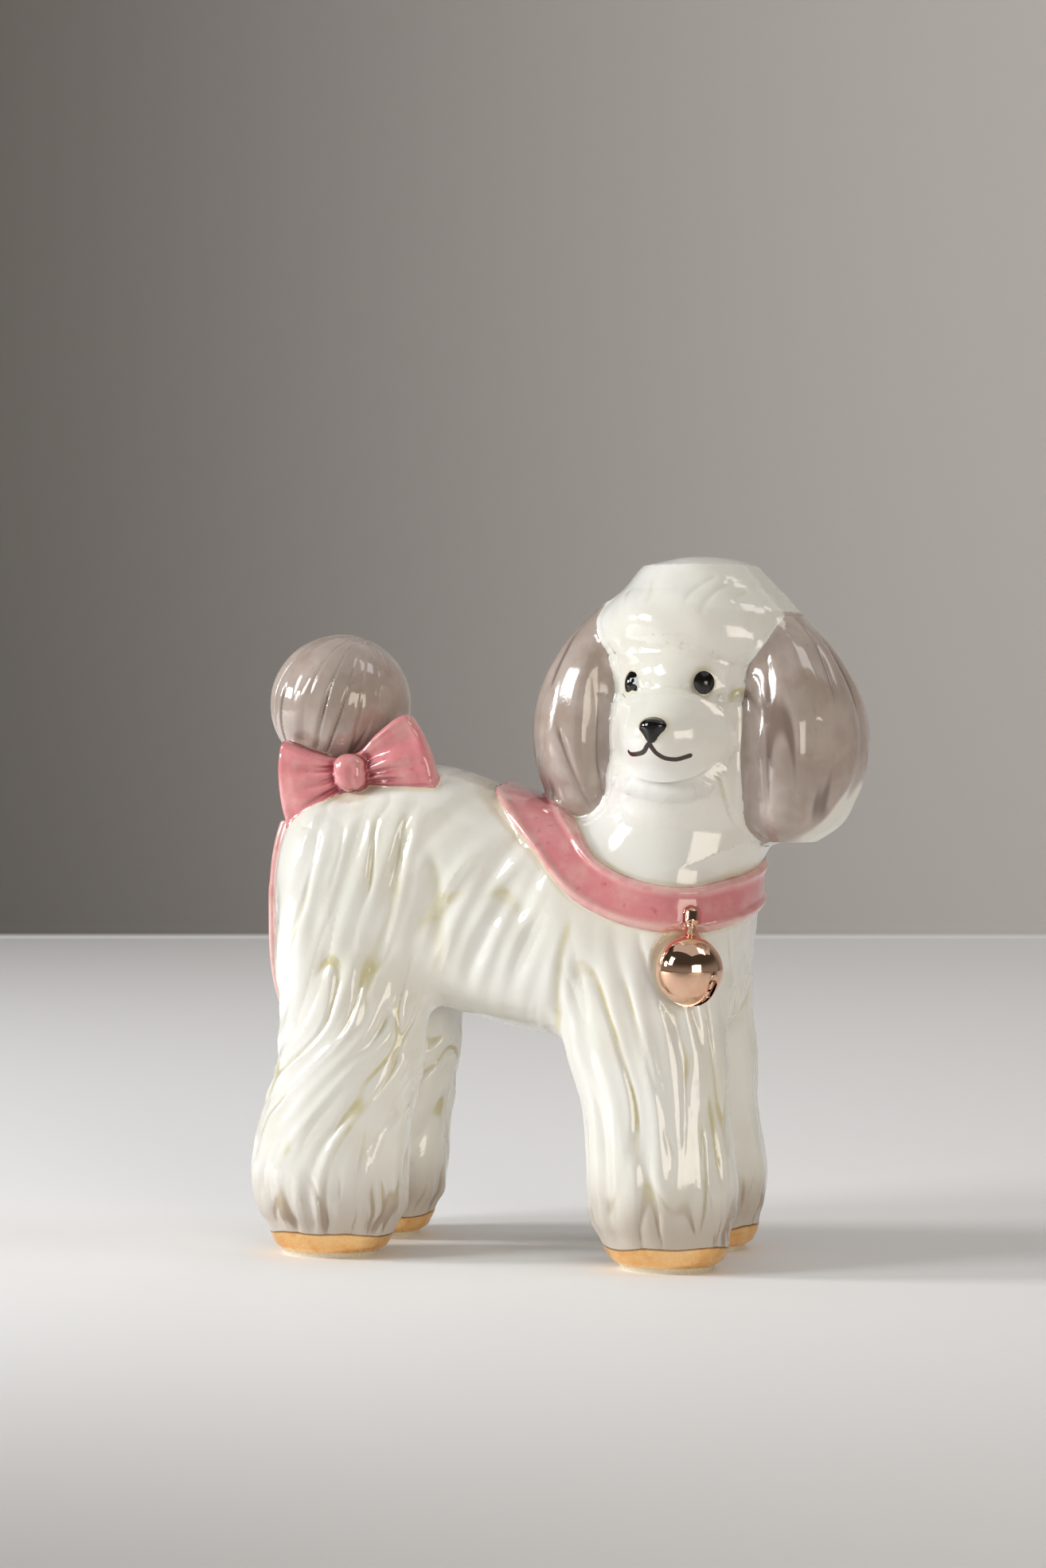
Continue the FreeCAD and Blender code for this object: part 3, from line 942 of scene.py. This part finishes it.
def finish_piece(node, points, faces, normals, flat_faces, masks, material):
    """Blender object of one piece; flat_faces are the cut faces that take their own normal."""
    mesh = bpy.data.meshes.new(node + "_glazed")
    mesh.from_pydata((points + ORIGIN) * MM, [], faces)
    mesh.shade_smooth()
    corner_vertex = np.empty(len(mesh.loops), np.int32)
    mesh.loops.foreach_get("vertex_index", corner_vertex)
    corner_normals = normals[corner_vertex]
    for face in flat_faces:
        polygon = mesh.polygons[face]
        corner_normals[polygon.loop_start:polygon.loop_start + polygon.loop_total] = polygon.normal
    mesh.normals_split_custom_set(corner_normals.tolist())
    for mask_name, values in masks.items():
        layer = mesh.attributes.new(mask_name, "FLOAT", "POINT")
        layer.data.foreach_set("value", values.astype(np.float32))
    piece = bpy.data.objects.new(node + "_glazed", mesh)
    bpy.context.scene.collection.objects.link(piece)
    mesh.materials.append(material)
    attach(piece, "root")
    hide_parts(node)
    return piece


# ---------------------------------------------------------------- painted marks

# Mouth, brushed over the muzzle: sideways and z on the head
SMILE = np.array([
    (-7.4, 126.9), (-6.6, 126.4), (-4.6, 126.5), (-2.4, 127.1), (-0.7, 129.0),
    (0.1, 128.0), (1.0, 126.8), (2.8, 125.6), (5.4, 125.3), (8.2, 126.2),
])


def face_curve(marks, count=60):
    """Points of a brushed line on the face, from marks given sideways and up."""
    names = near_shapes("muzzle")
    knots = np.linspace(0.0, 1.0, len(marks))
    line = along(np.column_stack([knots, marks]), np.linspace(0.0, 1.0, count))
    skin = lambda p: outer_skin(measure(p, names))
    return np.array([head_point(surface_forward(skin, sideways, z), sideways, z)
                     for sideways, z in line])


smile_line = face_curve(SMILE)


# How far across each flat ribbon a point is, and the ribbon's half width
PINK_ACROSS = {
    "collar_ribbon": (collar_across, COLLAR_WIDTH / 2),
    "rump_streamer": (streamer_across, STREAMER_WIDTH / 2),
}


def paint_masks(node, names, points, masks):
    """Adds what the materials need to know about painted marks and tints, and where painted highlight
    and shade go.
    """
    z = points[:, 2]
    distances = measure(points, names)
    far_off = np.full(len(points), 9.0)
    trims = [distances[name] for name in names if name != node and GROUP[name] == TRIMS]
    masks["border"] = np.minimum.reduce(trims + [far_off])
    on_face = node in ("muzzle", "head_casting")
    masks["ink"] = line_distance(points, smile_line) if on_face else far_off
    if node.endswith(("_leg", "_paw")):
        masks["gold_edge"] = z - paw_line(points)
    if node.endswith("_leg"):
        masks["cuff"] = step(27.0, 9.0, z + 1.5 * ripple(points, 23, 12.0))
    # Where the pink glaze paints a highlight along the rolled ribbon edges.
    if node in PINK_ACROSS:
        across, half = PINK_ACROSS[node]
        masks["rolled"] = step(0.45, 0.85, np.abs(across(points)) / half)
    if node.endswith("_ear"):
        side = SIDES[node.split("_")[0]]
        w, level = ear_place(points, side)[1:]
        edge = np.maximum(side * w, 0.0)
        head = np.minimum(distances["topknot"], distances["head_casting"])
        masks["blend"] = step(2.4, 0.0, head)
        rim_level = 104.6 + 19.0 * edge**6 - 0.9 * ripple(points, 29, 14.0)
        masks["bare_rim"] = step(1.5, -1.5, level - rim_level)
    return masks


# ---------------------------------------------------------------- glazes

class Layers:
    """A colour built up in layers in a node tree."""

    def __init__(self, tree, base):
        self.nodes = tree.nodes
        self.links = tree.links
        self.colour = base

    def axes(self, kind):
        """X, Y and Z of the object or generated coordinates."""
        separate = self.nodes.new("ShaderNodeSeparateXYZ")
        place = self.nodes.new("ShaderNodeTexCoord").outputs[kind]
        self.links.new(place, separate.inputs[0])
        return separate.outputs

    def ramp(self, value, low, high, to_low=0.0, to_high=1.0):
        """Value rescaled smoothly from low..high to to_low..to_high."""
        node = self.nodes.new("ShaderNodeMapRange")
        node.interpolation_type = "SMOOTHSTEP"
        limits = {"From Min": low, "From Max": high, "To Min": to_low, "To Max": to_high}
        for socket, number in limits.items():
            node.inputs[socket].default_value = number
        self.links.new(value, node.inputs["Value"])
        return node.outputs["Result"]

    def layer(self, amount, colour):
        """Lay a colour over what is there, as much as amount says."""
        node = self.nodes.new("ShaderNodeMix")
        node.data_type = "RGBA"
        self.links.new(amount, node.inputs["Factor"])
        for socket, part in ((node.inputs[6], self.colour), (node.inputs[7], colour)):
            if isinstance(part, tuple):
                socket.default_value = (*part, 1.0)
            else:
                self.links.new(part, socket)
        self.colour = node.outputs[2]


class Glaze(Layers):
    """A Principled material whose colour is built up in layers."""

    def __init__(self, name, base, roughness, coat=0.0, metallic=0.0):
        self.material = bpy.data.materials.new(name)
        self.material.use_nodes = True
        super().__init__(self.material.node_tree, base)
        self.shader = self.nodes["Principled BSDF"]
        self.shader.inputs["Roughness"].default_value = roughness
        self.shader.inputs["Coat Weight"].default_value = coat
        self.shader.inputs["Coat Roughness"].default_value = 0.04
        self.shader.inputs["Metallic"].default_value = metallic
        self.place = self.nodes.new("ShaderNodeTexCoord").outputs["Object"]
        self.height = None

    def noise(self, size_mm, detail=3.0):
        """Noise from 0 to 1 whose blobs are about size_mm across."""
        texture = self.nodes.new("ShaderNodeTexNoise")
        texture.inputs["Scale"].default_value = 1.0 / (size_mm * MM)
        texture.inputs["Detail"].default_value = detail
        self.links.new(self.place, texture.inputs["Vector"])
        return texture.outputs["Fac"]

    def mask(self, name):
        attribute = self.nodes.new("ShaderNodeAttribute")
        attribute.attribute_name = name
        return attribute.outputs["Fac"]

    def times(self, a, b):
        node = self.nodes.new("ShaderNodeMath")
        node.operation = "MULTIPLY"
        self.links.new(a, node.inputs[0])
        self.links.new(b, node.inputs[1])
        return node.outputs[0]

    def shine(self, value, low, high):
        """Roughness that varies between low and high with value."""
        self.links.new(self.ramp(value, 0.3, 0.7, low, high), self.shader.inputs["Roughness"])

    def ripple(self, value, depth_mm):
        """Unevenness of the surface that deep."""
        bump = self.nodes.new("ShaderNodeBump")
        bump.inputs["Distance"].default_value = depth_mm * MM
        self.links.new(value, bump.inputs["Height"])
        if self.height is not None:
            self.links.new(self.height, bump.inputs["Normal"])
        self.height = bump.outputs["Normal"]

    def finish(self):
        self.links.new(self.colour, self.shader.inputs["Base Color"])
        if self.height is not None:
            self.links.new(self.height, self.shader.inputs["Normal"])
        return self.material


def cream_glaze():
    glaze = Glaze("cream glaze", (0.83, 0.825, 0.785), 0.14, coat=0.5)
    glaze.layer(glaze.ramp(glaze.noise(26.0), 0.40, 0.66), (0.79, 0.775, 0.70))
    # Darker yellow where the skin is enclosed (hollows, creases, under overhangs): glaze pooled
    # there, and painted shade.
    glaze.layer(glaze.ramp(glaze.mask("hollow_pool_and_shade"), 0.03, 0.6, 0.0, 0.65), (0.62, 0.55, 0.40))
    mottle = glaze.ramp(glaze.noise(9.0, 4.0), 0.38, 0.62, 0.30, 1.0)
    pooled = glaze.ramp(glaze.mask("pool"), 0.10, 0.90, 0.0, 0.80)
    glaze.layer(glaze.times(pooled, mottle), (0.60, 0.53, 0.27))
    edge = glaze.ramp(glaze.mask("border"), 1.8, 0.1, 0.0, 0.6)
    glaze.layer(glaze.times(edge, mottle), (0.68, 0.62, 0.36))
    streaks = glaze.ramp(glaze.mask("pool"), 0.02, 0.60, 0.62, 1.0)
    glaze.layer(glaze.times(glaze.mask("cuff"), streaks), (0.36, 0.275, 0.21))
    glaze.layer(glaze.ramp(glaze.noise(1.3, 2.0), 0.78, 0.84, 0.0, 0.25), (0.55, 0.50, 0.38))
    glaze.layer(glaze.ramp(glaze.mask("ink"), 0.72, 0.50), (0.030, 0.014, 0.010))
    glaze.shine(glaze.noise(4.0), 0.06, 0.14)
    glaze.ripple(glaze.noise(3.6, 2.0), 0.10)
    glaze.ripple(glaze.noise(0.9, 2.0), 0.010)
    return glaze.finish()


def taupe_glaze():
    glaze = Glaze("taupe glaze", (0.40, 0.325, 0.285), 0.12, coat=0.6)
    glaze.layer(glaze.ramp(glaze.noise(12.0), 0.35, 0.7), (0.50, 0.42, 0.38))
    glaze.layer(glaze.ramp(glaze.noise(7.0, 3.0), 0.5, 0.75, 0.0, 0.6), (0.36, 0.27, 0.22))
    glaze.layer(glaze.ramp(glaze.mask("pool"), 0.05, 0.85, 0.0, 0.85), (0.19, 0.135, 0.11))
    glaze.layer(glaze.ramp(glaze.noise(1.6, 3.0), 0.62, 0.8, 0.0, 0.3), (0.24, 0.18, 0.15))
    glaze.layer(glaze.mask("bare_rim"), (0.80, 0.775, 0.70))
    feathered = glaze.ramp(glaze.noise(3.0), 0.3, 0.6, 0.55, 1.0)
    glaze.layer(glaze.times(glaze.mask("blend"), feathered), (0.78, 0.74, 0.64))
    glaze.shine(glaze.noise(4.0), 0.07, 0.17)
    glaze.ripple(glaze.noise(3.4, 2.0), 0.08)
    return glaze.finish()


def pink_glaze():
    glaze = Glaze("pink glaze", (0.70, 0.25, 0.27), 0.12, coat=0.6)
    glaze.layer(glaze.ramp(glaze.noise(5.0, 4.0), 0.40, 0.75), (0.74, 0.36, 0.35))
    glaze.layer(glaze.ramp(glaze.noise(2.2, 4.0), 0.60, 0.80, 0.0, 0.6), (0.45, 0.09, 0.12))
    # Deeper crimson in hollows and creases: glaze pooled thicker there, and painted shade.
    glaze.layer(glaze.ramp(glaze.mask("hollow_pool_and_shade"), 0.12, 0.7, 0.0, 0.85), (0.34, 0.055, 0.075))
    # Painted highlight: the rolled ribbon edges are painted paler, mottled by noise.
    edge_highlight = glaze.ramp(glaze.noise(4.0, 3.0), 0.3, 0.6, 0.35, 0.9)
    glaze.layer(glaze.times(glaze.mask("rolled"), edge_highlight), (0.80, 0.50, 0.46))
    glaze.shine(glaze.noise(3.0), 0.06, 0.16)
    glaze.ripple(glaze.noise(2.4, 2.0), 0.07)
    return glaze.finish()


def gold_lustre():
    glaze = Glaze("gold lustre", (0.92, 0.60, 0.28), 0.28, metallic=0.75)
    glaze.layer(glaze.ramp(glaze.noise(4.0, 4.0), 0.35, 0.7), (0.84, 0.47, 0.18))
    # Darker band along the gold's brushed upper edge, fading downward: the lustre's own darker edge,
    # and painted shade.
    glaze.layer(glaze.ramp(glaze.mask("gold_edge"), -0.60, -0.05, 0.0, 0.85), (0.16, 0.08, 0.04))
    glaze.shine(glaze.noise(2.5, 3.0), 0.20, 0.38)
    glaze.ripple(glaze.noise(5.5, 2.0), 0.35)
    glaze.ripple(glaze.noise(2.0, 2.0), 0.012)
    return glaze.finish()


def rose_gold_lustre():
    glaze = Glaze("rose gold lustre", (0.86, 0.56, 0.40), 0.05, metallic=1.0)
    glaze.layer(glaze.ramp(glaze.noise(3.0, 4.0), 0.45, 0.75), (0.80, 0.48, 0.32))
    glaze.shine(glaze.noise(1.5, 3.0), 0.02, 0.09)
    glaze.ripple(glaze.noise(3.0, 2.0), 0.03)
    return glaze.finish()


def black_glaze():
    glaze = Glaze("black glaze", (0.006, 0.005, 0.005), 0.05, coat=0.3)
    glaze.layer(glaze.ramp(glaze.noise(1.0), 0.5, 0.8), (0.014, 0.009, 0.007))
    glaze.shine(glaze.noise(1.2), 0.03, 0.08)
    glaze.ripple(glaze.noise(1.2, 2.0), 0.01)
    return glaze.finish()


def bare_biscuit():
    glaze = Glaze("bare biscuit", (0.66, 0.60, 0.47), 0.85)
    glaze.layer(glaze.ramp(glaze.noise(0.7, 4.0), 0.4, 0.7), (0.74, 0.68, 0.55))
    glaze.layer(glaze.ramp(glaze.noise(5.0, 4.0), 0.55, 0.75, 0.0, 0.5), (0.50, 0.43, 0.32))
    glaze.ripple(glaze.noise(0.4, 4.0), 0.04)
    return glaze.finish()


GLAZES = {
    "cream_glaze": cream_glaze(),
    "taupe_glaze": taupe_glaze(),
    "pink_glaze": pink_glaze(),
    "gold_lustre": gold_lustre(),
    "rose_gold_lustre": rose_gold_lustre(),
    "black_glaze": black_glaze(),
    "bare_biscuit": bare_biscuit(),
}


# ---------------------------------------------------------------- pieces

# node, glaze, voxel size, times each quad is split
WHOLE_PIECES = (
    ("torso_casting", "cream_glaze", 2.0, 2),
    ("head_casting", "cream_glaze", 1.6, 2),
    ("topknot", "cream_glaze", 1.6, 2),
    ("muzzle", "cream_glaze", 1.2, 2),
    ("nose_tip", "black_glaze", 0.5, 1),
    ("left_eye", "black_glaze", 0.5, 1),
    ("right_eye", "black_glaze", 0.5, 1),
    ("left_ear", "taupe_glaze", 1.6, 2),
    ("right_ear", "taupe_glaze", 1.6, 2),
    ("tail_pompom", "taupe_glaze", 1.6, 2),
    ("tail_stem", "cream_glaze", 0.8, 1),
    ("bow_knot", "pink_glaze", 0.7, 1),
    ("bow_rear_loop", "pink_glaze", 0.8, 1),
    ("bow_front_loop", "pink_glaze", 0.8, 1),
    ("collar_ribbon", "pink_glaze", 0.8, 1),
    ("rump_streamer", "pink_glaze", 0.8, 1),
    ("jingle_bell", "rose_gold_lustre", 0.5, 1),
    ("bell_stem", "rose_gold_lustre", 0.6, 1),
)


def build_whole_piece(node, glaze, spacing, splits):
    names = near_shapes(node)
    points, quads = smooth_body([node], node, spacing, splits)
    points, normals, masks = carve(points, names)
    masks = paint_masks(node, names, points, masks)
    finish_piece(node, points, quads, normals, (), masks, GLAZES[glaze])


def cut_column(points, quads, height, floor, roof):
    """The slice of a closed mesh between two heights, with its cut faces closed."""
    mesh = bpy.data.meshes.new("column")
    mesh.from_pydata(np.column_stack([points[:, :2], height]), [], quads)
    column = bmesh.new()
    column.from_mesh(mesh)
    bpy.data.meshes.remove(mesh)
    for level, keep_above in ((floor, True), (roof, False)):
        if level is None:
            continue
        parts = column.verts[:] + column.edges[:] + column.faces[:]
        cut = bmesh.ops.bisect_plane(
            column, geom=parts, dist=1e-6, plane_co=(0, 0, level), plane_no=(0, 0, 1),
            clear_inner=keep_above, clear_outer=not keep_above)
        rim = [item for item in cut["geom_cut"] if isinstance(item, bmesh.types.BMEdge)]
        bmesh.ops.contextual_create(column, geom=rim)
    bmesh.ops.recalc_face_normals(column, faces=column.faces[:])
    if column.calc_volume(signed=True) < 0:
        bmesh.ops.reverse_faces(column, faces=column.faces[:])
    column.verts.index_update()
    sliced = np.array([vertex.co[:] for vertex in column.verts])
    faces = [[vertex.index for vertex in face.verts] for face in column.faces]
    column.free()
    flat_faces = [index for index, face in enumerate(faces) if len(face) > 8]
    return sliced, faces, flat_faces


def build_leg(foot):
    """One leg with its gold paw and dry pad, sliced from a single column."""
    leg = foot + "_leg"
    nodes = (leg, foot + "_paw", foot + "_foot_pad")
    names = near_shapes(leg)
    points, quads = smooth_body(nodes, leg, 2.0, 2)
    above_gold = points[:, 2] - paw_line(points) + PAW_TOP
    blend_down = step(PAD_TOP, PAW_TOP, points[:, 2])
    level = points[:, 2] + (above_gold - points[:, 2]) * blend_down
    slices = (
        (leg, "cream_glaze", PAW_TOP, None),
        (foot + "_paw", "gold_lustre", PAD_TOP, PAW_TOP),
        (foot + "_foot_pad", "bare_biscuit", 0.0, PAD_TOP),
    )
    for node, glaze, floor, roof in slices:
        sliced, faces, flat_faces = cut_column(points, quads, level, floor, roof)
        shift = paw_line(sliced) - PAW_TOP
        for _ in range(4):
            rise = step(PAD_TOP, PAW_TOP, sliced[:, 2] + shift)
            shift = (paw_line(sliced) - PAW_TOP) * rise
        sliced[:, 2] += shift
        sliced, normals, masks = carve(sliced, names)
        masks = paint_masks(node, names, sliced, masks)
        finish_piece(node, sliced, faces, normals, flat_faces, masks, GLAZES[glaze])


for row in WHOLE_PIECES:
    build_whole_piece(*row)
for end_name in LEGS:
    for side_name in SIDES:
        build_leg(end_name + "_" + side_name)


# ---------------------------------------------------------------- stage, light and camera

VIEW_BEARING = math.radians(16.0)   # the camera stands this far round from the dog's right side


def build_stage():
    """Pale table that sweeps up into a grey wall, both with painted shade."""
    front, turn_start, turn_radius, top = -1.6, 1.05, 0.008, 2.2
    profile = [(front, 0.0), (turn_start, 0.0)]
    for index in range(1, 13):
        angle = math.radians(90.0 * index / 12)
        back = turn_start + turn_radius * math.sin(angle)
        profile.append((back, turn_radius * (1 - math.cos(angle))))
    profile.append((turn_start + turn_radius, top))
    points = [(x, y, z) for y, z in profile for x in (-2.5, 2.5)]
    faces = [(2 * row, 2 * row + 1, 2 * row + 3, 2 * row + 2) for row in range(len(profile) - 1)]
    mesh = bpy.data.meshes.new("sweep")
    mesh.from_pydata(points, [], faces)
    mesh.shade_smooth()
    sweep = bpy.data.objects.new("sweep", mesh)
    sweep.rotation_euler.z = VIEW_BEARING
    bpy.context.scene.collection.objects.link(sweep)
    sweep_paint = Glaze("pale table and grey wall with painted shade", (0.41, 0.40, 0.39), 0.6)
    sweep_paint.shader.inputs["Specular IOR Level"].default_value = 0.1
    across, depth, height = sweep_paint.axes("Object")
    # Painted shade on the table: darkest at the front left, lighter to the right, pale in the middle
    # and a little darker toward the back.
    sweep_paint.layer(sweep_paint.ramp(across, -0.20, 0.15), (0.70, 0.68, 0.67))
    sweep_paint.layer(sweep_paint.ramp(depth, -0.42, -0.04), (0.94, 0.93, 0.93))
    sweep_paint.layer(sweep_paint.ramp(depth, 0.55, 1.05), (0.90, 0.89, 0.89))
    # Painted shade on the wall: darkest at the left, lighter to the right.
    wall = Layers(sweep_paint.material.node_tree, (0.11, 0.100, 0.089))
    wall.layer(wall.ramp(across, -0.42, 0.42), (0.56, 0.53, 0.51))
    sweep_paint.layer(sweep_paint.ramp(height, 0.0, 0.003), wall.colour)
    mesh.materials.append(sweep_paint.finish())


def add_light(name, place, aim, size, power, colour=(1, 1, 1)):
    data = bpy.data.lights.new(name, "AREA")
    data.shape = "RECTANGLE"
    data.size, data.size_y = size
    data.energy = power
    data.color = colour
    light = bpy.data.objects.new(name, data)
    light.location = place
    light.rotation_euler = (Vector(aim) - Vector(place)).to_track_quat("-Z", "Y").to_euler()
    bpy.context.scene.collection.objects.link(light)


def build_lights():
    low, high = cad_bounds
    middle = (low + high) / 2
    add_light("window", (-0.85, -0.60, 0.62), middle, (0.30, 0.42), 5.0, (0.94, 0.98, 1.0))
    add_light("low sun", (-1.20, -0.30, 0.44), middle, (0.22, 0.22), 11.0, (1.0, 0.99, 0.97))
    add_light("fill", (0.85, -1.0, 0.30), middle, (0.7, 0.5), 5.2, (1.0, 0.91, 0.78))
    add_light("top", (0.1, 0.2, 1.2), middle, (1.8, 1.8), 5.0)
    add_light("wall wash", (0.9, 0.1, 1.4), (0.3, 1.15, 0.5), (0.6, 0.6), 3.0)
    world = bpy.data.worlds.new("room")
    world.use_nodes = True
    room = Layers(world.node_tree, (0.85, 0.80, 0.74))
    room.layer(room.ramp(room.axes("Generated")[2], 0.05, 0.45), (0.20, 0.18, 0.16))
    background = room.nodes["Background"]
    room.links.new(room.colour, background.inputs["Color"])
    background.inputs["Strength"].default_value = 0.29
    bpy.context.scene.world = world
    bpy.context.scene.view_settings.view_transform = "Standard"


def build_camera():
    """Level with the head, off the dog's right side and a little ahead of it."""
    distance = 0.920
    pitch = math.radians(1.9)
    data = bpy.data.cameras.new("camera")
    data.sensor_fit = "VERTICAL"
    data.sensor_height = 36.0
    data.lens = 84.06
    camera = bpy.data.objects.new("camera", data)
    aim = Vector(ORIGIN * MM) + Vector((-0.0064, -0.0018, 0.1486))
    outward = Vector((math.sin(VIEW_BEARING), -math.cos(VIEW_BEARING), 0))
    camera.location = aim + outward * distance
    camera.rotation_euler = (math.radians(90) - pitch, 0, VIEW_BEARING)
    bpy.context.scene.collection.objects.link(camera)
    bpy.context.scene.camera = camera


build_stage()
build_lights()
build_camera()
